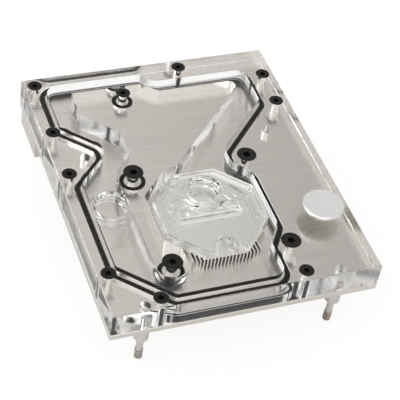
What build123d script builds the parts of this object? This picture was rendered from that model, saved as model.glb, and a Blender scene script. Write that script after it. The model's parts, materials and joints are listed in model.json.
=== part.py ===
from build123d import *
import os
from math import radians, sqrt, tan

# Water block with a clear cover, which cools a processor and the voltage regulators beside it.
# Everything is in millimetres. The origin is the centre of the processor contact face, with X to
# the right, Y to the back and Z up. The block stands on the tips of its four board studs.

# Block: two plates of one outline
block_width = 102.5
block_depth = 124.0
processor_to_front = 42.5
base_thickness = 2.5
cover_thickness = 10.2
cover_chamfer = 0.35
base_chamfer = 0.25
corner_share = 0.45

# Contact pads under the base
processor_pad = 38.0
processor_pad_height = 0.5
processor_pad_corner = 3.0
regulator_pad_width = 20.0
regulator_pad_length = 21.0
regulator_pad_height = 6.8
regulator_pad_to_back = 3.0

# Small countersunk screws along the edge, and large ones on a square round the processor
small_head = 5.7
small_shank = 3.0
small_length = 12.0
small_socket = 2.0
large_head = 7.65
large_shank = 4.0
large_length = 12.0
large_socket = 2.5
head_recess = 0.1
head_gap = 0.05
shank_clearance = 0.2
thread_gap = 0.02
socket_depth_share = 0.6
tip_room = 0.5
large_square = 46.0

# Places of the small screws: distances from the faces, and two left rows counted from the processor
screw_to_side = 4.5
screw_to_front = 4.6
screw_to_back = 4.0
right_screw_to_side = 5.0
front_screw_x = -32.2
upper_row_to_back = 14.8
right_pair_pitch = 16.6
middle_row_y = 50.1
left_row_y = 27.2
back_pair_x = 13.5

# Board studs on the processor's square
stud_square = 75.0
stud_body = 5.5
stud_body_length = 8.0
stud_neck = 2.6
stud_neck_length = 6.2
stud_thread = 3.0
stud_thread_length = 5.0
stud_chamfer = 0.4
stud_root = 3.5
stud_root_reach = 0.8
stud_relief = 4.1
stud_relief_depth = 4.0

# Main seal: a squeezed cord in a groove on the underside of the cover
seal_width = 2.1
seal_height = 2.2
seal_edge = 0.45
groove_gap = 0.08
seal_to_left = 6.6
seal_to_right = 9.1
seal_to_front = 4.2
seal_to_back = 2.1
seal_to_back_right = 7.4
seal_past_screw = 4.9
seal_jog_x = -2.45
seal_jog_run = 4.0
seal_waist_x = -31.85
seal_waist_back = 41.1
seal_waist_front = 36.7
seal_left_back_y = 53.9
seal_left_mid_y = 23.9
seal_left_front_y = -19.9
seal_front_x = -26.25
seal_right_back_y = 52.8
seal_shoulder_y = 28.75
seal_hip_back = 15.2
seal_hip_front = -12.5
seal_bend = 4.0
seal_corner = 6.0

# Small ring seals round the three screws that pass through the water side
ring_cord = 1.6
ring_height = 1.2
small_ring_outer = 8.4
large_ring_outer = 10.0

# Water channel, milled into the underside of the cover
seal_to_channel = 1.75
channel_ceiling = 2.8
side_channel = 9.5
back_channel = 5.8
boss_radius = 6.1

# Island that parts the channel, and the wall between the left channel and the chamber
island_waist_x = -20.75
island_diagonal = 25.45
island_jog_x = -4.65
island_jog_run = 6.1
island_right_diagonal = 29.25
island_tip = 2.5
island_bend = 2.0
island_corner = 1.0

# Chamber over the processor
chamber_half_width = 22.15
chamber_back = 23.7
chamber_front = 21.7
chamber_cut = 33.75
chamber_corner = 1.5

# Threaded ports for hose fittings
port_major = 13.16
port_length = 5.3
port_chamfer = 0.15
port_boss = 16.0
outlet_x = -36.1
outlet_y = 8.8
inlet_x = 0.4
inlet_y = 9.2

# Cooling fins on the base
fin_count = 20
fin_pitch = 1.4
fin_thickness = 0.5
fin_height = 3.0
fin_length = 41.0
fin_clearance = 0.3

# Clear flow insert between the fins and the cover
insert_flats = 40.6
insert_cut = 28.7
insert_corner = 2.0
insert_gap = 0.1
insert_edge = 0.5
notch_radius = 4.0
notch_centre_y = -17.5
feed_width = 4.0

# Thin metal plate that the insert presses on the fins, with the slot that the water is forced through
jet_plate_thickness = 0.5
jet_length = 24.0
jet_width = 1.2

# Round badge on the cover
badge_diameter = 15.6
badge_thickness = 1.3
badge_chamfer = 0.4
badge_x = 41.55
badge_y = -9.4

# Levels and edges worked out from the sizes above
base_bottom = processor_pad_height
base_top = base_bottom + base_thickness
cover_top = base_top + cover_thickness
left = -block_width / 2
right = block_width / 2
front = -processor_to_front
back = block_depth - processor_to_front
upper_row_y = back - upper_row_to_back
large_half = large_square / 2
stud_half = stud_square / 2
fin_top = base_top + fin_height
jet_plate_top = fin_top + jet_plate_thickness
channel_level = cover_top - channel_ceiling
port_level = cover_top - port_length
insert_top = channel_level - insert_gap

large_places = [(x, y) for x in (-large_half, large_half) for y in (-large_half, large_half)]
stud_places = [(x, y) for x in (-stud_half, stud_half) for y in (-stud_half, stud_half)]
small_places = [
    (left + screw_to_side, back - screw_to_back),
    (left + screw_to_side, middle_row_y),
    (left + screw_to_side, left_row_y),
    (left + screw_to_side, -large_half),
    (front_screw_x, front + screw_to_front),
    (large_half, front + screw_to_front),
    (right - right_screw_to_side, upper_row_y - right_pair_pitch),
    (right - screw_to_side, upper_row_y),
    (back_pair_x, back - screw_to_back),
    (-back_pair_x, upper_row_y),
]
ringed_small = (-back_pair_x, upper_row_y)
ringed_large = [(-large_half, -large_half), (-large_half, large_half)]
port_places = [(outlet_x, outlet_y), (inlet_x, inlet_y)]


def rounded(corners):
    """Closed face through (x, y, radius) corners, where no corner takes more than its share of a wall."""
    points = [Vector(x, y) for x, y, radius in corners]
    radii = []
    for number, (x, y, radius) in enumerate(corners):
        to_last = points[number - 1] - points[number]
        to_next = points[(number + 1) % len(points)] - points[number]
        reach = corner_share * min(to_last.length, to_next.length)
        radii.append(min(radius, reach * tan(radians(to_last.get_angle(to_next)) / 2)))
    return make_face(FilletPolyline(*points, radius=radii, close=True))


def rectangle(x_from, x_to, y_from, y_to):
    """Plain face between two x and two y values."""
    return Pos((x_from + x_to) / 2, (y_from + y_to) / 2) * Rectangle(x_to - x_from, y_to - y_from)


def prism(face, z_from, z_to):
    """Upright solid over a face, between two levels."""
    return extrude(Pos(0, 0, z_from) * face, amount=z_to - z_from)


def turned(profile):
    """Solid of revolution about Z from (radius, z) points."""
    outline = make_face(Polyline(*[(radius, 0, z) for radius, z in profile], close=True))
    return revolve(outline, axis=Axis.Z)


def bar(diameter, z_from, z_to):
    """Upright cylinder between two levels."""
    return Pos(0, 0, z_from) * Cylinder(
        diameter / 2, z_to - z_from, align=(Align.CENTER, Align.CENTER, Align.MIN)
    )


def seal_outline():
    """Centreline of the main seal, round the whole water side and past each screw."""
    slim_x = large_half - seal_past_screw
    wide_x = chamber_half_width + seal_to_channel
    return rounded([
        (left + seal_to_left, back - seal_to_back, seal_corner + 1),
        (seal_jog_x, back - seal_to_back, seal_bend),
        (seal_jog_x + seal_jog_run, back - seal_to_back_right, seal_bend),
        (right - seal_to_right, back - seal_to_back_right, seal_corner),
        (right - seal_to_right, seal_right_back_y, seal_bend),
        (slim_x, seal_shoulder_y, seal_bend),
        (slim_x, large_half, seal_bend),
        (wide_x, seal_hip_back, seal_corner),
        (wide_x, seal_hip_front, seal_bend),
        (slim_x, -large_half + seal_width, seal_bend),
        (slim_x, front + seal_to_front, seal_corner),
        (seal_front_x, front + seal_to_front, seal_bend),
        (left + seal_to_left, seal_left_front_y, seal_bend),
        (left + seal_to_left, seal_left_mid_y, seal_bend),
        (seal_waist_x, seal_waist_front, seal_bend),
        (seal_waist_x, seal_waist_back, seal_bend),
        (left + seal_to_left, seal_left_back_y, seal_bend),
    ])


def band(outline, width):
    """Strip of one width along a closed centreline."""
    return offset(outline, amount=width / 2) - offset(outline, amount=-width / 2)


def ring(diameter, cord):
    """Flat ring from its outer diameter and the thickness of its cord."""
    return Circle(diameter / 2) - Circle(diameter / 2 - cord)


def island_outline():
    """Solid island inside the channel, with the wall and two screw bosses in front of it."""
    side_x = left + seal_to_left + seal_to_channel + side_channel
    back_y = back - seal_to_back - seal_to_channel - back_channel
    back_right_y = back - seal_to_back_right - seal_to_channel - back_channel
    wall_x = -large_half - boss_radius
    boss_x = -large_half + boss_radius
    boss_diagonal = boss_radius * sqrt(2)
    island = rounded([
        (side_x, back_y, island_corner),
        (island_jog_x, back_y, island_bend),
        (island_jog_x + island_jog_run, back_right_y, island_bend),
        (back_right_y - island_right_diagonal, back_right_y, island_tip),
        (chamber_back - island_right_diagonal, chamber_back, island_corner / 2),
        (chamber_back - chamber_cut, chamber_back, chamber_corner),
        (-chamber_half_width, chamber_cut - chamber_half_width, chamber_corner),
        (-chamber_half_width, chamber_half_width - chamber_cut, chamber_corner),
        (boss_x, -chamber_cut - boss_x, island_corner),
        (boss_x, -large_half, 0),
        (wall_x, -large_half, 0),
        (wall_x, wall_x + 2 * large_half + boss_diagonal, boss_radius),
        (island_waist_x, island_waist_x + 2 * large_half + boss_diagonal, island_bend),
        (island_waist_x, island_diagonal - island_waist_x, island_bend),
        (side_x, island_diagonal - side_x, island_bend),
    ])
    return island + Pos(-large_half, -large_half) * Circle(boss_radius)


def chamber_outline():
    """Eight-sided pocket over the processor, which holds the flow insert."""
    return rounded([
        (-chamber_half_width, chamber_half_width - chamber_cut, chamber_corner),
        (chamber_front - chamber_cut, -chamber_front, chamber_corner),
        (chamber_cut - chamber_front, -chamber_front, chamber_corner),
        (chamber_half_width, chamber_half_width - chamber_cut, chamber_corner),
        (chamber_half_width, chamber_back, 0),
        (chamber_back - chamber_cut, chamber_back, 0),
        (-chamber_half_width, chamber_cut - chamber_half_width, 0),
    ])


def channel():
    """Water space in the cover, with a boss that hangs from its ceiling round each port."""
    plan = offset(seal_outline(), amount=-seal_to_channel) - island_outline()
    space = prism(plan, base_top, channel_level)
    for place in port_places:
        space -= Pos(*place) * bar(port_boss, port_level, channel_level)
    return space


def screw(head, shank, length, socket):
    """Countersunk screw with a hexagon socket, with the top of its head at Z = 0."""
    body = turned([
        (0, 0),
        (head / 2, 0),
        (shank / 2, (shank - head) / 2),
        (shank / 2, -length),
        (0, -length),
    ])
    socket_depth = socket * socket_depth_share
    key = RegularPolygon(socket / 2, 6, major_radius=False)
    return body - prism(key, -socket_depth, 0)


def screw_hole(head, shank):
    """Space in the cover for a countersunk screw, with its mouth at Z = 0."""
    mouth = head / 2 + head_gap
    hole = shank / 2 + shank_clearance
    return turned([
        (0, 0),
        (mouth, 0),
        (mouth, -head_recess),
        (hole, -head_recess - (mouth - hole)),
        (hole, -cover_thickness),
        (0, -cover_thickness),
    ])


def clear_cover():
    """Acrylic cover: the screw holes, seal grooves, channel and ports."""
    cover = prism(rectangle(left, right, front, back), base_top, cover_top)
    cover = chamfer(cover.edges().group_by(Axis.Z)[-1], length=cover_chamfer)
    cover -= channel()
    cover -= prism(band(seal_outline(), seal_width + 2 * groove_gap), base_top, base_top + seal_height)
    ringed = [(ringed_small, small_ring_outer)] + [(place, large_ring_outer) for place in ringed_large]
    for place, outer in ringed:
        groove = ring(outer + 2 * groove_gap, ring_cord + 2 * groove_gap)
        cover -= Pos(*place) * prism(groove, base_top, base_top + ring_height)
    for place in small_places:
        cover -= Pos(*place, cover_top) * screw_hole(small_head, small_shank)
    for place in large_places:
        cover -= Pos(*place, cover_top) * screw_hole(large_head, large_shank)
    for place in stud_places:
        cover -= Pos(*place) * bar(stud_relief, base_top, base_top + stud_relief_depth)
    for place in port_places:
        port = bar(port_major, port_level, cover_top)
        rim = Pos(0, 0, cover_top - port_chamfer) * Cone(
            port_major / 2,
            port_major / 2 + port_chamfer,
            port_chamfer,
            align=(Align.CENTER, Align.CENTER, Align.MIN),
        )
        cover -= Pos(*place) * (port + rim)
    return cover


def fins():
    """Row of upright fins that run from front to back over the processor."""
    first = -(fin_count - 1) * fin_pitch / 2
    row = [
        Pos(first + number * fin_pitch, 0) * Rectangle(fin_thickness, fin_length)
        for number in range(fin_count)
    ]
    room = offset(chamber_outline(), amount=-fin_clearance)
    return prism((Sketch() + row) & room, base_top, fin_top)


def base_plate():
    """Nickel-plated base: fins on top, contact pads below, threaded holes for every screw."""
    base = prism(rectangle(left, right, front, back), base_bottom, base_top)
    base = chamfer(base.edges().group_by(Axis.Z)[0], length=base_chamfer)
    pad = RectangleRounded(processor_pad, processor_pad, processor_pad_corner)
    base += prism(pad, 0, base_bottom)
    pad_back = back - regulator_pad_to_back
    rail = rectangle(left, left + regulator_pad_width, pad_back - regulator_pad_length, pad_back)
    base += prism(rail, base_bottom - regulator_pad_height, base_top)
    screw_tip = cover_top - head_recess - max(small_length, large_length)
    hole_end = min(base_bottom, screw_tip - tip_room)
    for place in small_places:
        base -= Pos(*place) * bar(small_shank + 2 * thread_gap, hole_end, base_top)
    for place in large_places:
        base -= Pos(*place) * bar(large_shank + 2 * thread_gap, hole_end, base_top)
    for place in stud_places:
        base -= Pos(*place) * bar(stud_root + 2 * thread_gap, base_bottom, base_top)
    return base + fins()


def main_gasket():
    """Black seal cord, squeezed flat against the base."""
    cord = prism(band(seal_outline(), seal_width), base_top, base_top + seal_height)
    return chamfer(cord.edges().group_by(Axis.Z)[-1], length=seal_edge)


def ring_gasket(outer):
    """Black ring seal for one screw that passes through the island."""
    return prism(ring(outer, ring_cord), base_top, base_top + ring_height)


def insert_outline():
    """Eight-sided outline of the insert and the jet plate below it."""
    half = insert_flats / 2
    corner = insert_cut - half
    signs = [(-1, -1), (1, -1), (1, 1), (-1, 1)]
    outline = []
    for number, (sx, sy) in enumerate(signs):
        pair = [(sx * half, sy * corner, insert_corner), (sx * corner, sy * half, insert_corner)]
        outline += pair if number % 2 == 0 else pair[::-1]
    return rounded(outline)


def jet_plate():
    """Thin metal plate on the fins, with the slot that forces the water down between them."""
    slot = rectangle(-jet_length / 2, jet_length / 2, -jet_width / 2, jet_width / 2)
    return prism(insert_outline() - slot, fin_top, jet_plate_top)


def flow_insert():
    """Clear insert that leads the water from the inlet to the slot in the jet plate."""
    body = prism(insert_outline(), jet_plate_top, insert_top)
    body = chamfer(body.edges().group_by(Axis.Z)[-1], length=insert_edge)
    notch = rectangle(-notch_radius, notch_radius, -insert_flats / 2, notch_centre_y)
    notch += Pos(0, notch_centre_y) * Circle(notch_radius)
    body -= prism(notch, jet_plate_top, insert_top)
    boss_seat = Pos(inlet_x, inlet_y) * Circle(port_boss / 2 + insert_gap)
    body -= prism(boss_seat, port_level - insert_gap, insert_top)
    feed = rectangle(-jet_length / 2, jet_length / 2, -feed_width / 2, feed_width / 2)
    feed += rectangle(inlet_x - port_major / 4, inlet_x + port_major / 4, 0, inlet_y)
    return body - prism(feed, jet_plate_top, insert_top)


def board_stud():
    """Stand-off screwed into the base, with the thread below that goes through the board."""
    body_end = base_bottom - stud_body_length
    neck_end = body_end - stud_neck_length
    tip = neck_end - stud_thread_length
    return turned([
        (0, base_top + stud_root_reach),
        (stud_root / 2, base_top + stud_root_reach),
        (stud_root / 2, base_bottom),
        (stud_body / 2, base_bottom),
        (stud_body / 2, body_end + stud_chamfer),
        (stud_body / 2 - stud_chamfer, body_end),
        (stud_neck / 2, body_end),
        (stud_neck / 2, neck_end),
        (stud_thread / 2, neck_end),
        (stud_thread / 2, tip + stud_chamfer),
        (stud_thread / 2 - stud_chamfer, tip),
        (0, tip),
    ])


def badge():
    """Bare round badge on the cover."""
    disc = Pos(badge_x, badge_y) * bar(badge_diameter, cover_top, cover_top + badge_thickness)
    return chamfer(disc.edges().group_by(Axis.Z)[-1], length=badge_chamfer)


def build():
    """Every piece of the block, by its name."""
    pieces = {
        "clear_cover": clear_cover(),
        "base_plate": base_plate(),
        "main_gasket": main_gasket(),
        "flow_insert": flow_insert(),
        "jet_plate": jet_plate(),
        "round_badge": badge(),
        "ring_gasket_back": Pos(*ringed_small) * ring_gasket(small_ring_outer),
    }
    for number, place in enumerate(ringed_large, start=1):
        pieces[f"ring_gasket_{number}"] = Pos(*place) * ring_gasket(large_ring_outer)
    head_level = cover_top - head_recess
    for number, place in enumerate(small_places, start=1):
        small = screw(small_head, small_shank, small_length, small_socket)
        pieces[f"cover_screw_{number}"] = Pos(*place, head_level) * small
    for number, place in enumerate(large_places, start=1):
        large = screw(large_head, large_shank, large_length, large_socket)
        pieces[f"large_screw_{number}"] = Pos(*place, head_level) * large
    for number, place in enumerate(stud_places, start=1):
        pieces[f"board_stud_{number}"] = Pos(*place) * board_stud()
    return pieces


os.makedirs("parts", exist_ok=True)
for name, piece in build().items():
    export_step(piece, f"parts/{name}.step")
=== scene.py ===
# %% [markdown]
# # A clear-topped water block
#
# A water block cools a computer's processor: water runs between two plates and takes the heat away. Here
# the lower plate is nickel plated, and the upper one is clear acrylic with the water channel milled into
# it. Nearly everything we see is seen through that acrylic, so this lesson is mostly about clear
# materials: how to keep surfaces from touching, how to let light in and out, and what a brushed metal
# floor does to all the things that stand above it.
#
# The shapes come from a solid model, which is loaded first. Its pieces already stand where they belong,
# with their place in their meshes, so none of them is moved.

# %% Load the model
import json
import math

import bmesh
import bpy
from mathutils import Matrix, Vector


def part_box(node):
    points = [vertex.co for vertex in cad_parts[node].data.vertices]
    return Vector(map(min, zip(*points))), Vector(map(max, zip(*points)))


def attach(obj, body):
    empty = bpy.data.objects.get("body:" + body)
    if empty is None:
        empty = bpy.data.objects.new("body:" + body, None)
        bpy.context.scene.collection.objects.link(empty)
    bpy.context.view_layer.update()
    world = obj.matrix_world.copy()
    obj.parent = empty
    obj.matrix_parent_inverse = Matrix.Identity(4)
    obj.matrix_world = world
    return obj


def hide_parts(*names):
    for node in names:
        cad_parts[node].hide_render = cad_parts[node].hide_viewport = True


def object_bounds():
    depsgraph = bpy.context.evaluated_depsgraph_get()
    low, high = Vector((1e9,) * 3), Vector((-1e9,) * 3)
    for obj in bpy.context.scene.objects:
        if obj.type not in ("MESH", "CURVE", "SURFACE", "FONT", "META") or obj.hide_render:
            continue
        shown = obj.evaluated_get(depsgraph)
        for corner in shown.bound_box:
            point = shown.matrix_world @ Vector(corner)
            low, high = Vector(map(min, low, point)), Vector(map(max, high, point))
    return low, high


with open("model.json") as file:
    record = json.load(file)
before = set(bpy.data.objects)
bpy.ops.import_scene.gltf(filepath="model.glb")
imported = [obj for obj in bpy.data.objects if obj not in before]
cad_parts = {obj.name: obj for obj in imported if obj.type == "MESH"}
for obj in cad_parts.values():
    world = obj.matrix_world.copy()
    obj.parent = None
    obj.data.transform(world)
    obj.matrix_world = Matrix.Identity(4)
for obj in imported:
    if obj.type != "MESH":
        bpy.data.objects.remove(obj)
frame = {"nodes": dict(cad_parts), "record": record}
nodes = frame["nodes"]
cad_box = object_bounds()
scene = bpy.context.scene
MM = 0.001
print("pieces in the frame:", len(nodes))

# %% [markdown]
# ## Levels and places
#
# Every new piece is placed by reading the solid model, so nothing is fitted by eye. The lowest and highest
# corner of a piece give its levels. The two ports are mounts of the model, with their centre and radius.

# %% Read levels and places from the frame
cover_low, cover_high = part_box("clear_cover")
insert_low, insert_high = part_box("flow_insert")
plate_top = cover_low.z
cover_top = cover_high.z
insert_top = insert_high.z
gasket_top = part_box("main_gasket")[1].z
ring_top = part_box("ring_gasket_1")[1].z
stud_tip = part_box("board_stud_1")[0].z
floor_level = cad_box[0][2]
mounts = {mount["name"]: mount for mount in frame["record"]["mounts"]}
print("cover from", round(plate_top / MM, 2), "to", round(cover_top / MM, 2), "mm")

# %% [markdown]
# ## Camera
#
# The photograph looks down on the block from its front left at about 45 degrees, through a long lens, with
# the camera rolled so that the block leans. A camera could be turned by three Euler angles, but a heading,
# a dip and a roll are easier to read and to correct one at a time, so its matrix is worked out from them.

# %% Place the camera
camera_place = Vector((-165.3, -315.8, 372.5)) * MM
camera_heading = math.radians(26.91)
camera_dip = math.radians(45.09)
camera_roll = math.radians(10.33)
focal_length = 123.06

forward = Vector((
    math.cos(camera_dip) * math.sin(camera_heading),
    math.cos(camera_dip) * math.cos(camera_heading),
    -math.sin(camera_dip),
))
camera = bpy.data.objects.new("camera", bpy.data.cameras.new("camera"))
camera.data.sensor_width = 36
camera.data.lens = focal_length
camera.data.clip_start = 0.01
camera.matrix_world = (
    Matrix.Translation(camera_place)
    @ forward.to_track_quat("-Z", "Y").to_matrix().to_4x4()
    @ Matrix.Rotation(camera_roll, 4, "Z")
)
scene.collection.objects.link(camera)
scene.camera = camera
print("camera to part:", round(camera_place.length, 3), "m")

# %% [markdown]
# ## Welded copies of the two plates
#
# The model's triangles come apart at every edge. A piece that is to be cut, bevelled or shaded smooth needs
# joined triangles, so it is copied, and the copy is welded and shaded smooth with its real edges kept sharp.
# The model's own piece has to stay as it is, and the copy is then seen in its place.
#
# Where a clear face lies exactly on another piece, the renderer can't tell which it meets first, so the
# copy's touching levels are moved by two hundredths of a millimetre. Which way matters. Metal never touches
# acrylic everywhere, so under the cover and under the badge a film of air stays between them. Rubber is
# pressed on and wets it, so there the acrylic closes on the rubber, and the seal stays black from every side.

# %% Copies of the cover and the base
film = 0.02 * MM
same_level = 0.001 * MM
weld_distance = 0.0005 * MM
sharp_angle = math.radians(25)


def shade_smooth(piece):
    """Smooth shading, except across real edges."""
    piece.data.shade_smooth()
    piece.data.set_sharp_from_angle(angle=sharp_angle)


def merged_copy(node, name, moves=()):
    """Welded copy of a solid piece, with a (level, rise) pair for each flat level that moves."""
    mesh = nodes[node].data.copy()
    mesh.name = name
    mesh.attributes.remove(mesh.attributes["custom_normal"])
    bm = bmesh.new()
    bm.from_mesh(mesh)
    bmesh.ops.remove_doubles(bm, verts=bm.verts, dist=weld_distance)
    for vert in bm.verts:
        vert.co.z += sum(rise for level, rise in moves if abs(vert.co.z - level) < same_level)
    bm.to_mesh(mesh)
    bm.free()
    piece = bpy.data.objects.new(name, mesh)
    scene.collection.objects.link(piece)
    shade_smooth(piece)
    return piece


cover = merged_copy("clear_cover", "cover", [
    (plate_top, film),
    (gasket_top, -film),
    (ring_top, -film),
    (cover_top, -film),
])
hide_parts("clear_cover")
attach(cover, "root")

base = merged_copy("base_plate", "base")
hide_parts("base_plate")
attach(base, "root")
print("faces of the copies:", len(cover.data.polygons), len(base.data.polygons))

# %% [markdown]
# ## Eased edges where the plates meet
#
# The outer edges of both plates are broken by a hair where they meet, and the light catches in the notch as
# a thin bright line. A Bevel modifier would ease every edge of a piece, also those of the channel and the
# fins, so the outer edges at that one level are picked by their place and given to the bevel operator.

# %% Bevel the meeting edges
on_the_side = 0.01 * MM
cover_ease = 0.3 * MM
base_ease = 0.25 * MM


def on_outer_edge(edge, level):
    """True for an edge that lies at this level and in one of the block's four sides."""
    if any(abs(vert.co.z - level) > on_the_side for vert in edge.verts):
        return False
    sides = [(axis, corner[axis]) for axis in (0, 1) for corner in (cover_low, cover_high)]
    return any(all(abs(vert.co[axis] - side) < on_the_side for vert in edge.verts) for axis, side in sides)


def ease_outer_edge(piece, level, width):
    """Bevels the outer edges at one level by a width."""
    bm = bmesh.new()
    bm.from_mesh(piece.data)
    edges = [edge for edge in bm.edges if on_outer_edge(edge, level)]
    bmesh.ops.bevel(
        bm, geom=edges, offset=width, offset_type="OFFSET", segments=1, profile=0.5, affect="EDGES",
        material=-1,
    )
    bm.to_mesh(piece.data)
    bm.free()
    shade_smooth(piece)
    return len(edges)


print("edges of the cover eased:", ease_outer_edge(cover, plate_top + film, cover_ease))
print("edges of the base eased:", ease_outer_edge(base, plate_top, base_ease))

# %% [markdown]
# ## Helpers for materials
#
# Each finish below is a Principled shader with a noise in front of it. The noise reads Object coordinates,
# so it stays on the piece from every side, and it is stretched along an axis, which is what brushed metal
# and turned metal need. One helper each makes an empty material, adds a node, makes a noise, maps a range,
# blends two colours, raises a surface, and gives a material to a piece.

# %% Material helpers
noise_low = 0.3
noise_high = 0.7


def new_material(name, **sockets):
    """Material with one Principled shader, and plain values for the sockets that are named."""
    material = bpy.data.materials.new(name)
    material.use_nodes = True
    shader = material.node_tree.nodes["Principled BSDF"]
    for socket, value in sockets.items():
        shader.inputs[socket.replace("_", " ")].default_value = value
    return material, material.node_tree, shader


def add_node(tree, kind, **settings):
    """New shader node, with its properties set by keyword."""
    node = tree.nodes.new(kind)
    for name, value in settings.items():
        setattr(node, name, value)
    return node


def grain(tree, per_metre, detail=4.0):
    """Noise on Object coordinates, with its own number of lines per metre along X, Y and Z."""
    place = add_node(tree, "ShaderNodeTexCoord")
    mapping = add_node(tree, "ShaderNodeMapping")
    mapping.inputs["Scale"].default_value = per_metre
    noise = add_node(tree, "ShaderNodeTexNoise")
    noise.inputs["Scale"].default_value = 1.0
    noise.inputs["Detail"].default_value = detail
    tree.links.new(place.outputs["Object"], mapping.inputs["Vector"])
    tree.links.new(mapping.outputs["Vector"], noise.inputs["Vector"])
    return noise.outputs["Fac"]


def map_range(tree, source, start, end, low=0.0, high=1.0):
    """Low up to the start, high from the end on, and a straight ramp between them."""
    node = add_node(tree, "ShaderNodeMapRange")
    for socket, value in (("From Min", start), ("From Max", end), ("To Min", low), ("To Max", high)):
        node.inputs[socket].default_value = value
    tree.links.new(source, node.inputs["Value"])
    return node.outputs["Result"]


def blend_colours(tree, source, dark, light):
    """Colour between two, by the noise."""
    node = add_node(tree, "ShaderNodeMix", data_type="RGBA")
    node.inputs["A"].default_value = (*dark, 1.0)
    node.inputs["B"].default_value = (*light, 1.0)
    tree.links.new(source, node.inputs["Factor"])
    return node.outputs["Result"]


def raise_surface(tree, shader, source, depth):
    """Bump from the noise, with its depth in metres."""
    node = add_node(tree, "ShaderNodeBump")
    node.inputs["Strength"].default_value = 1.0
    node.inputs["Distance"].default_value = depth
    tree.links.new(source, node.inputs["Height"])
    tree.links.new(node.outputs["Normal"], shader.inputs["Normal"])


def give(material, *objects):
    """One material for all slots of these objects."""
    for obj in objects:
        obj.data.materials.clear()
        obj.data.materials.append(material)


print("range of the noise that is used:", noise_low, "to", noise_high)

# %% [markdown]
# ## Brushed nickel
#
# The base is brushed along its width. A picture of brushed metal could be laid on it, but a noise needs no
# picture and never repeats: its lines are much longer than they are wide, so it is stretched along X. The
# shader's own anisotropy spreads reflections across the lines, which turns each screw head above the plate
# into a soft dark blot in it, and not a sharp mirror image. The fins stand above the plate's face. They
# were cut and not brushed, so from just above that face on the metal is brighter.

# %% Brushed nickel for the base
brush_lines = (24.0, 1700.0, 1700.0)
brush_strokes = (10.0, 260.0, 260.0)
fin_foot = plate_top + 0.1 * MM
blend_reach = 0.02 * MM


def above(tree, colour, level, other):
    """Other colour for what lies above a level of the piece, with a narrow blend."""
    place = add_node(tree, "ShaderNodeTexCoord")
    split = add_node(tree, "ShaderNodeSeparateXYZ")
    tree.links.new(place.outputs["Object"], split.inputs["Vector"])
    step = map_range(tree, split.outputs["Z"], level - blend_reach, level + blend_reach)
    node = add_node(tree, "ShaderNodeMix", data_type="RGBA")
    node.inputs["B"].default_value = (*other, 1.0)
    tree.links.new(step, node.inputs["Factor"])
    tree.links.new(colour, node.inputs["A"])
    return node.outputs["Result"]


def brushed_nickel():
    """Nickel with fine lines along X, and roughness in broader strokes."""
    material, tree, shader = new_material("brushed_nickel", Metallic=1.0, Anisotropic=0.9)
    fine = grain(tree, brush_lines)
    broad = grain(tree, brush_strokes, detail=2.0)
    brushed = blend_colours(tree, fine, dark=(0.70, 0.655, 0.61), light=(0.91, 0.865, 0.82))
    colour = above(tree, brushed, fin_foot, (1.0, 0.985, 0.96))
    tree.links.new(colour, shader.inputs["Base Color"])
    roughness = map_range(tree, broad, noise_low, noise_high, low=0.2, high=0.28)
    tree.links.new(roughness, shader.inputs["Roughness"])
    raise_surface(tree, shader, fine, depth=0.0015 * MM)
    across = add_node(tree, "ShaderNodeCombineXYZ")
    across.inputs["Y"].default_value = 1.0
    tree.links.new(across.outputs["Vector"], shader.inputs["Tangent"])
    return material


give(brushed_nickel(), base)
print("material of the base:", base.data.materials[0].name)

# %% [markdown]
# ## Clear acrylic
#
# Acrylic bends light a little less than window glass: its index is 1.49. A glass shader would do, but the
# Principled one is what the export knows. Each face takes a trace of the light, so that what is seen through
# many of them turns a little darker, as in the photograph. A grey specular tint holds back what the faces
# mirror, since an even white sky would lay a veil over all that lies below.

# %% Clear acrylic with a finish
acrylic_index = 1.49
finishes = {"polished": 0.0, "milled": 0.09, "sawn": 0.22, "drilled": 0.14, "tapped": 0.02}


def clear_acrylic(name, roughness, ripple=0.0):
    """Clear plastic, with cutter marks where it has a ripple, which is their depth in metres."""
    material, tree, shader = new_material(name, Roughness=roughness, IOR=acrylic_index)
    shader.inputs["Transmission Weight"].default_value = 1.0
    shader.inputs["Specular Tint"].default_value = (0.35, 0.35, 0.35, 1.0)
    cloud = grain(tree, (160.0, 160.0, 160.0), detail=2.0)
    colour = blend_colours(tree, cloud, dark=(0.985, 0.99, 0.985), light=(1.0, 1.0, 1.0))
    tree.links.new(colour, shader.inputs["Base Color"])
    if ripple:
        raise_surface(tree, shader, grain(tree, (350.0, 1100.0, 350.0)), ripple)
    return material


cover.data.materials.clear()
for finish, roughness in finishes.items():
    cover.data.materials.append(clear_acrylic(f"{finish}_acrylic", roughness))
print("materials of the cover:", list(cover.data.materials.keys()))

# %% [markdown]
# ## Polished, milled and drilled faces
#
# The top, the front and the two sides of the cover are polished. The cutter leaves the channel faintly dull,
# a drill leaves a screw hole duller still, so that the holes look silver and not like clear glass, and the
# back is sawn. The ports are tapped with a sharp tool and stay clear. The cover could be split into pieces
# by finish, but every cut would show in a clear piece, so it stays whole, and each face gets its material by
# where it lies.

# %% Finish of each face of the cover
hole_margin = 0.1 * MM
top_margin = 0.5 * MM
slot_of = {finish: number for number, finish in enumerate(finishes)}


def holes_of_the_cover():
    """Finish, centre and radius of every screw hole, stud hole and port."""
    holes = []
    for name in nodes:
        if "screw" in name or "stud" in name:
            low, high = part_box(name)
            holes.append(("drilled", (low + high).to_2d() / 2, (high.x - low.x) / 2 + hole_margin))
    for mount in mounts.values():
        if mount["kind"] == "threaded_hole":
            holes.append(("tapped", Vector(mount["pos_m"][:2]), mount["dims"]["r_mm"] * MM + hole_margin))
    return holes


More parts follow.
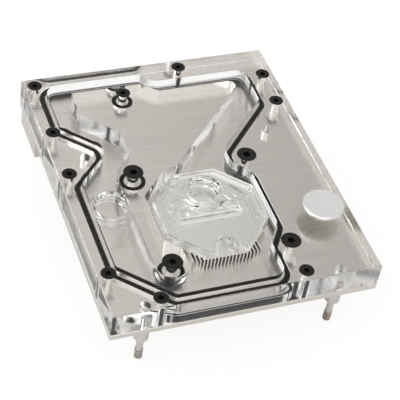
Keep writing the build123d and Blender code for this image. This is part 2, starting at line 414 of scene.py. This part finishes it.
def finish_of(centre, holes):
    """Name of the finish for a face of the cover."""
    for finish, middle, reach in holes:
        if (centre.to_2d() - middle).length < reach:
            return finish
    if abs(centre.y - cover_high.y) < on_the_side:
        return "sawn"
    sides = [(centre.x, cover_low.x), (centre.x, cover_high.x), (centre.y, cover_low.y)]
    at_the_top = abs(centre.z - cover_top) < top_margin
    if at_the_top or any(abs(place - side) < on_the_side for place, side in sides):
        return "polished"
    return "milled"


holes = holes_of_the_cover()
for face in cover.data.polygons:
    face.material_index = slot_of[finish_of(face.center, holes)]
for finish, number in slot_of.items():
    print(finish, "faces:", sum(face.material_index == number for face in cover.data.polygons))

# %% [markdown]
# ## Threads of the ports
#
# A fitting's thread is too fine for the solid model, which has plain walls at the thread's outer diameter.
# A Screw modifier makes a true helix, but its ends would have to be sewn into the wall. Rings look the same
# at this size and keep the piece closed: the wall is cut at four levels in every pitch, and two of them go
# towards the axis. In a port those are the two levels in the middle of the pitch, and on a stud the outer
# two, so one function serves both. It makes as many whole turns as fit, and leaves the rest of the wall
# plain.

# %% Thread function and the ports' threads
thread_levels = (0.15, 0.4, 0.6, 0.85)
port_crests = (0.4, 0.6)
port_pitch = 1.337 * MM
port_thread_depth = 0.856 * MM
port_mouth = cover_top - 0.15 * MM
port_thread_foot = port_mouth - 5.148 * MM


def wall_faces(bm, centre, radius, low, high):
    """Faces of the upright round wall with this centre and radius, between two levels."""
    wall = []
    for face in bm.faces:
        middle = face.calc_center_median()
        upright = abs(face.normal.z) < 0.1
        at_radius = abs((middle.to_2d() - centre).length - radius) < hole_margin
        if upright and at_radius and low - hole_margin < middle.z < high + hole_margin:
            wall.append(face)
    return wall


def cut_thread(piece, centre, radius, low, high, pitch, depth, inward):
    """Rings in a wall: the levels named by inward, as shares of a pitch, go towards the axis by the depth."""
    bm = bmesh.new()
    bm.from_mesh(piece.data)
    wall = wall_faces(bm, centre, radius, low, high)
    geometry = list({part for face in wall for part in (*face.verts, *face.edges)}) + wall
    inner = set()
    for turn in range(int((high - low) / pitch)):
        for share in thread_levels:
            level = low + (turn + share) * pitch
            cut = bmesh.ops.bisect_plane(bm, geom=geometry, plane_co=(0, 0, level), plane_no=(0, 0, 1))
            geometry = cut["geom"]
            if share in inward:
                inner.update(part for part in cut["geom_cut"] if isinstance(part, bmesh.types.BMVert))
    for vert in inner:
        spoke = (vert.co.to_2d() - centre).normalized() * (radius - depth)
        vert.co.x, vert.co.y = centre + spoke
    bm.to_mesh(piece.data)
    bm.free()
    shade_smooth(piece)


for name in ("outlet_port", "inlet_port"):
    mount = mounts[name]
    cut_thread(
        cover,
        Vector(mount["pos_m"][:2]),
        mount["dims"]["r_mm"] * MM,
        port_thread_foot,
        port_mouth,
        port_pitch,
        port_thread_depth,
        port_crests,
    )
print("faces of the cover with threads:", len(cover.data.polygons))

# %% [markdown]
# ## The flow insert
#
# The eight-sided insert leads the water from the inlet down to the fins. Its top has a shallow step all
# round. The step could be a groove cut by a Boolean, but the top is one flat region, and two insets do it:
# the first leaves the margin, and the second makes the slope as it sinks what is inside.

# %% Insert with its step
step_margin = 0.8 * MM
step_slope = 0.3 * MM
step_depth = 0.35 * MM


def step_down(piece, level):
    """Sinks the inside of the flat top, and leaves a margin round every edge of it."""
    bm = bmesh.new()
    bm.from_mesh(piece.data)
    top = [
        face for face in bm.faces
        if face.normal.z > 0.99 and abs(face.calc_center_median().z - level) < on_the_side
    ]
    bmesh.ops.inset_region(bm, faces=top, thickness=step_margin, use_even_offset=True)
    bmesh.ops.inset_region(bm, faces=top, thickness=step_slope, depth=-step_depth, use_even_offset=True)
    bm.to_mesh(piece.data)
    bm.free()


insert = merged_copy("flow_insert", "insert", [(insert_low.z, film)])
step_down(insert, insert_top)
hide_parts("flow_insert")
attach(insert, "root")
print("faces of the insert with its step:", len(insert.data.polygons))

# %% [markdown]
# ## Pockets, grooves and dots
#
# Three pockets beside the inlet, three fine grooves and two dots are cut into the insert's top. Bump would
# do on an opaque piece, but light that passes through bends at real walls only. Each cut is made with a
# pill, which is the hull of two circles at two levels, so one list of places, widths and depths gives them
# all.

# %% Cut the insert
pill_segments = 24
pockets = [
    {"start": (-12.8, 6.2), "end": (-9.6, 9.4), "width": 2.8, "depth": 1.2},
    {"start": (-9.2, 16.6), "end": (-7.4, 17.2), "width": 1.8, "depth": 1.2},
    {"start": (10.6, 9.6), "end": (13.4, 5.2), "width": 3.2, "depth": 1.2},
    {"start": (-15.4, 8.0), "end": (-15.4, -7.5), "width": 0.6, "depth": 0.7},
    {"start": (15.8, 2.5), "end": (15.8, -7.5), "width": 0.6, "depth": 0.7},
    {"start": (-14.0, -3.4), "end": (14.2, -3.4), "width": 0.6, "depth": 0.7},
    {"start": (18.0, 6.4), "end": (18.0, 6.6), "width": 0.9, "depth": 1.2},
    {"start": (17.9, -4.0), "end": (17.9, -3.8), "width": 0.9, "depth": 1.2},
]


def pill(start, end, width, low, high):
    """Upright closed solid with two round ends, from two places, a width and two levels."""
    bm = bmesh.new()
    for place in (start, end):
        for level in (low, high):
            ring = bmesh.ops.create_circle(bm, cap_ends=False, segments=pill_segments, radius=width / 2)
            bmesh.ops.translate(bm, verts=ring["verts"], vec=(*place, level))
    hull = bmesh.ops.convex_hull(bm, input=bm.verts)
    bmesh.ops.delete(bm, geom=hull["geom_interior"], context="VERTS")
    mesh = bpy.data.meshes.new("pill")
    bm.to_mesh(mesh)
    bm.free()
    return mesh


def cut_away(piece, mesh):
    """Cuts a closed mesh out of a piece."""
    cutter = bpy.data.objects.new("cutter", mesh)
    scene.collection.objects.link(cutter)
    cut = piece.modifiers.new("cut", "BOOLEAN")
    cut.object = cutter
    cut.solver = "EXACT"
    bpy.context.view_layer.update()
    result = bpy.data.meshes.new_from_object(piece.evaluated_get(bpy.context.evaluated_depsgraph_get()))
    piece.modifiers.clear()
    piece.data = result
    bpy.data.objects.remove(cutter)


for pocket in pockets:
    start, end = Vector(pocket["start"]) * MM, Vector(pocket["end"]) * MM
    foot = insert_top - pocket["depth"] * MM
    cut_away(insert, pill(start, end, pocket["width"] * MM, foot, insert_top + MM))
shade_smooth(insert)
print("faces of the insert with its pockets:", len(insert.data.polygons))

# %% [markdown]
# ## Milled acrylic of the insert
#
# The insert was milled and never polished. An end mill leaves flat faces nearly clear, with a ripple of a
# few thousandths of a millimetre, and upright walls dull, so the two get a material each. More ripple than
# that would bend the light so much that the whole insert turned grey.

# %% Finishes of the insert
insert.data.materials.clear()
insert.data.materials.append(clear_acrylic("insert_flat", roughness=0.03, ripple=0.003 * MM))
insert.data.materials.append(clear_acrylic("insert_wall", roughness=0.14))
for face in insert.data.polygons:
    is_wall = abs(face.normal.z) <= 0.9
    face.material_index = int(is_wall)
print("wall faces of the insert:", sum(face.material_index for face in insert.data.polygons))

# %% [markdown]
# ## Seals and black screws
#
# Rubber and black oxide are both nearly black, and one black material could serve them both, but they
# don't look alike. The rubber is dull, with next to no shine. The oxide is a thin oiled skin on steel,
# smoother, and a little grey where the light grazes it. What varies in each of them follows one fine noise,
# so one function makes both, and later also the finishes of the badge and the sheet under the insert.

# %% Seals and screws


def grained(name, per_metre, dark, light, rough=None, depth=0.0, **sockets):
    """Material whose colour, roughness and height all follow one noise."""
    material, tree, shader = new_material(name, **sockets)
    noise = grain(tree, per_metre)
    tree.links.new(blend_colours(tree, noise, dark, light), shader.inputs["Base Color"])
    if rough:
        roughness = map_range(tree, noise, noise_low, noise_high, *rough)
        tree.links.new(roughness, shader.inputs["Roughness"])
    if depth:
        raise_surface(tree, shader, noise, depth)
    return material


rubber = grained(
    "black_rubber",
    per_metre=(2500.0, 2500.0, 2500.0),
    dark=(0.006, 0.006, 0.006),
    light=(0.014, 0.014, 0.014),
    depth=0.004 * MM,
    Roughness=0.6,
    Specular_IOR_Level=0.15,
)
oxide = grained(
    "black_oxide",
    per_metre=(1800.0, 1800.0, 1800.0),
    dark=(0.008, 0.008, 0.008),
    light=(0.022, 0.021, 0.020),
    rough=(0.32, 0.48),
    depth=0.003 * MM,
    Metallic=0.6,
)
seals = [node for name, node in nodes.items() if "gasket" in name]
screws = [node for name, node in nodes.items() if "screw" in name]
give(rubber, *seals)
give(oxide, *screws)
print("seals:", len(seals), "screws:", len(screws))

# %% [markdown]
# ## Studs
#
# The four studs hold the block to its board. Their lower end is an M3 thread, cut into a copy by the same
# function as the ports' threads, above a small point that stays plain. They were turned on a lathe, so
# their fine lines run round them: the noise is dense along Z and loose in X and Y. Painted shade makes
# the metal's colour darker up to the thread's end, standing in for the shade that the thread's flanks hold.

# %% Studs with threads
stud_thread_length = 5.0 * MM
stud_thread_radius = 1.5 * MM
stud_pitch = 0.5 * MM
stud_thread_depth = 0.307 * MM
stud_point = 0.4 * MM
stud_roots = (0.15, 0.85)


def turned_nickel():
    """Nickel with fine turning lines round Z, and painted shade that darkens the thread."""
    material, tree, shader = new_material("turned_nickel", Metallic=1.0)
    lines = grain(tree, (300.0, 300.0, 6000.0))
    # Painted shade: the thread's colours are darker than the plain body's, and the noise adds turning lines.
    thread = blend_colours(tree, lines, dark=(0.40, 0.36, 0.32), light=(0.80, 0.76, 0.71))
    colour = above(tree, thread, stud_tip + stud_thread_length, (0.76, 0.735, 0.70))
    tree.links.new(colour, shader.inputs["Base Color"])
    roughness = map_range(tree, lines, noise_low, noise_high, low=0.2, high=0.32)
    tree.links.new(roughness, shader.inputs["Roughness"])
    return material


turned = turned_nickel()
for name in [name for name in nodes if name.startswith("board_stud")]:
    low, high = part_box(name)
    stud = merged_copy(name, name.replace("board_", "threaded_"))
    cut_thread(
        stud,
        ((low + high) / 2).to_2d(),
        stud_thread_radius,
        low.z + stud_point,
        low.z + stud_thread_length,
        stud_pitch,
        stud_thread_depth,
        stud_roots,
    )
    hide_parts(name)
    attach(stud, "root")
    give(turned, stud)
    print(stud.name, "faces:", len(stud.data.polygons))

# %% [markdown]
# ## Badge and jet plate
#
# The badge is a bare satin disc, blasted and not brushed, so its grain is even in all directions.
#
# Under the insert lies a thin metal sheet with the slot that the water is forced through. It is seen only
# by way of the cover and the insert, where it makes the insert look even and pale. The light loses a
# little at each clear face on its way there and back, so its colour is painted close to white to make up
# for that lost light. Its rolling lines run along X. Both finishes come from the same function as the seals'.

# %% Badge and jet plate
satin = grained(
    "satin_nickel",
    per_metre=(6000.0, 6000.0, 6000.0),
    dark=(0.92, 0.935, 0.92),
    light=(0.98, 0.99, 0.98),
    rough=(0.3, 0.4),
    depth=0.002 * MM,
    Metallic=1.0,
)
# The jet plate's colour is a painted brightness, near white, that makes up for light lost in the clear faces.
rolled_and_brightened = grained(
    "jet_nickel",
    per_metre=(900.0, 2600.0, 900.0),
    dark=(0.94, 0.92, 0.89),
    light=(1.0, 0.985, 0.96),
    rough=(0.16, 0.26),
    depth=0.004 * MM,
    Metallic=1.0,
)
give(satin, nodes["round_badge"])
give(rolled_and_brightened, nodes["jet_plate"])
print("materials made:", len(bpy.data.materials))

# %% [markdown]
# ## Floor
#
# The photograph has a pure white ground. More lamps would make it white, but they would bleach the block
# too. So the floor shows white to the camera, and to rays that come by way of the acrylic, while the light
# that it casts stays at a plain level. It keeps a part of its ordinary shading, so that the block still
# throws a soft shadow on it.

# %% Floor
floor_size = 1.6
floor_colour = (0.82, 0.82, 0.82, 1.0)
share_of_white = 0.8
white_strength = 1.08


def seen_directly(tree):
    """1 where the ray comes from the camera, or by way of a clear piece."""
    path = add_node(tree, "ShaderNodeLightPath")
    either = add_node(tree, "ShaderNodeMath", operation="MAXIMUM")
    tree.links.new(path.outputs["Is Camera Ray"], either.inputs[0])
    tree.links.new(path.outputs["Is Transmission Ray"], either.inputs[1])
    return either.outputs["Value"]


def white_floor():
    """Pale matt floor, mixed with plain white where it is seen directly."""
    material, tree, shader = new_material("white_floor", Base_Color=floor_colour, Roughness=0.9)
    glow = add_node(tree, "ShaderNodeEmission")
    glow.inputs["Strength"].default_value = white_strength
    part = add_node(tree, "ShaderNodeMath", operation="MULTIPLY")
    part.inputs[1].default_value = share_of_white
    mix = add_node(tree, "ShaderNodeMixShader")
    tree.links.new(seen_directly(tree), part.inputs[0])
    tree.links.new(part.outputs["Value"], mix.inputs["Fac"])
    tree.links.new(shader.outputs["BSDF"], mix.inputs[1])
    tree.links.new(glow.outputs["Emission"], mix.inputs[2])
    tree.links.new(mix.outputs["Shader"], tree.nodes["Material Output"].inputs["Surface"])
    return material


floor_mesh = bpy.data.meshes.new("floor")
floor_bm = bmesh.new()
bmesh.ops.create_grid(floor_bm, x_segments=1, y_segments=1, size=floor_size)
bmesh.ops.translate(floor_bm, verts=floor_bm.verts, vec=(0, 0, floor_level))
floor_bm.to_mesh(floor_mesh)
floor_bm.free()
floor = bpy.data.objects.new("floor", floor_mesh)
scene.collection.objects.link(floor)
give(white_floor(), floor)
print("floor at", round(floor_level / MM, 2), "mm")

# %% [markdown]
# ## Sky
#
# An even white sky would leave the metal flat. A picture of a studio would give it more, but this block
# needs only a plain ramp in two directions. It is a little brighter in front of the block, and it falls off
# towards the right, which gives the metal its slow change from light to dark. The camera sees plain white
# in its place.

# %% World
sky_colour = (1.0, 0.995, 0.985, 1.0)


def studio_world():
    """White to the camera, and to everything else a soft sky that is brighter in front of the block."""
    world = bpy.data.worlds.new("studio")
    world.use_nodes = True
    tree = world.node_tree
    sky = tree.nodes["Background"]
    sky.inputs["Color"].default_value = sky_colour
    place = add_node(tree, "ShaderNodeTexCoord")
    split = add_node(tree, "ShaderNodeSeparateXYZ")
    tree.links.new(place.outputs["Generated"], split.inputs["Vector"])
    front_to_back = map_range(tree, split.outputs["Y"], start=-0.35, end=0.45, low=1.05, high=0.74)
    left_to_right = map_range(tree, split.outputs["X"], start=0.2, end=0.45, low=1.06, high=0.68)
    both = add_node(tree, "ShaderNodeMath", operation="MULTIPLY")
    tree.links.new(front_to_back, both.inputs[0])
    tree.links.new(left_to_right, both.inputs[1])
    tree.links.new(both.outputs["Value"], sky.inputs["Strength"])
    plain = add_node(tree, "ShaderNodeBackground")
    plain.inputs["Color"].default_value = (1.0, 1.0, 1.0, 1.0)
    path = add_node(tree, "ShaderNodeLightPath")
    mix = add_node(tree, "ShaderNodeMixShader")
    tree.links.new(path.outputs["Is Camera Ray"], mix.inputs["Fac"])
    tree.links.new(sky.outputs["Background"], mix.inputs[1])
    tree.links.new(plain.outputs["Background"], mix.inputs[2])
    tree.links.new(mix.outputs["Shader"], tree.nodes["World Output"].inputs["Surface"])
    return world


scene.world = studio_world()
scene.view_settings.view_transform = "Standard"
print("world:", scene.world.name)

# %% [markdown]
# ## Lamps
#
# Two large soft lamps stand low, one on each side. The sky alone would light the block, but its edges need
# something brighter than the sky to mirror, and the lamps draw the bright lines where the plates meet. They
# are weak, so they hardly change the tone of the faces.

# %% Lamps
lamp_size = 0.5
lamp_aim = Vector((0, 20, 0)) * MM
lamps = [
    {"name": "softbox_left", "place": (-0.75, 0.1, 0.45), "watts": 1.5},
    {"name": "softbox_right", "place": (0.75, 0.6, 0.28), "watts": 1.0},
]
for lamp in lamps:
    light = bpy.data.lights.new(lamp["name"], "AREA")
    light.shape = "SQUARE"
    light.size = lamp_size
    light.energy = lamp["watts"]
    place = Vector(lamp["place"])
    turn = (lamp_aim - place).to_track_quat("-Z", "Y").to_matrix().to_4x4()
    softbox = bpy.data.objects.new(lamp["name"], light)
    softbox.matrix_world = Matrix.Translation(place) @ turn
    scene.collection.objects.link(softbox)
    print(softbox.name, "at", round(place.length, 2), "m,", light.energy, "W")

# %% [markdown]
# ## Light through many clear faces
#
# A ray that goes down through the cover and the insert, meets the metal and comes up again crosses more
# than a dozen clear faces. The usual limit of twelve bounces would leave it black, so the limit is raised.
# Light that is mirrored inside the acrylic counts as glossy, so that limit has to rise as well.

# %% Bounces
clear_bounces = 26
scene.cycles.max_bounces = clear_bounces + 2
scene.cycles.transmission_bounces = clear_bounces
scene.cycles.glossy_bounces = clear_bounces
print("bounces:", scene.cycles.max_bounces)
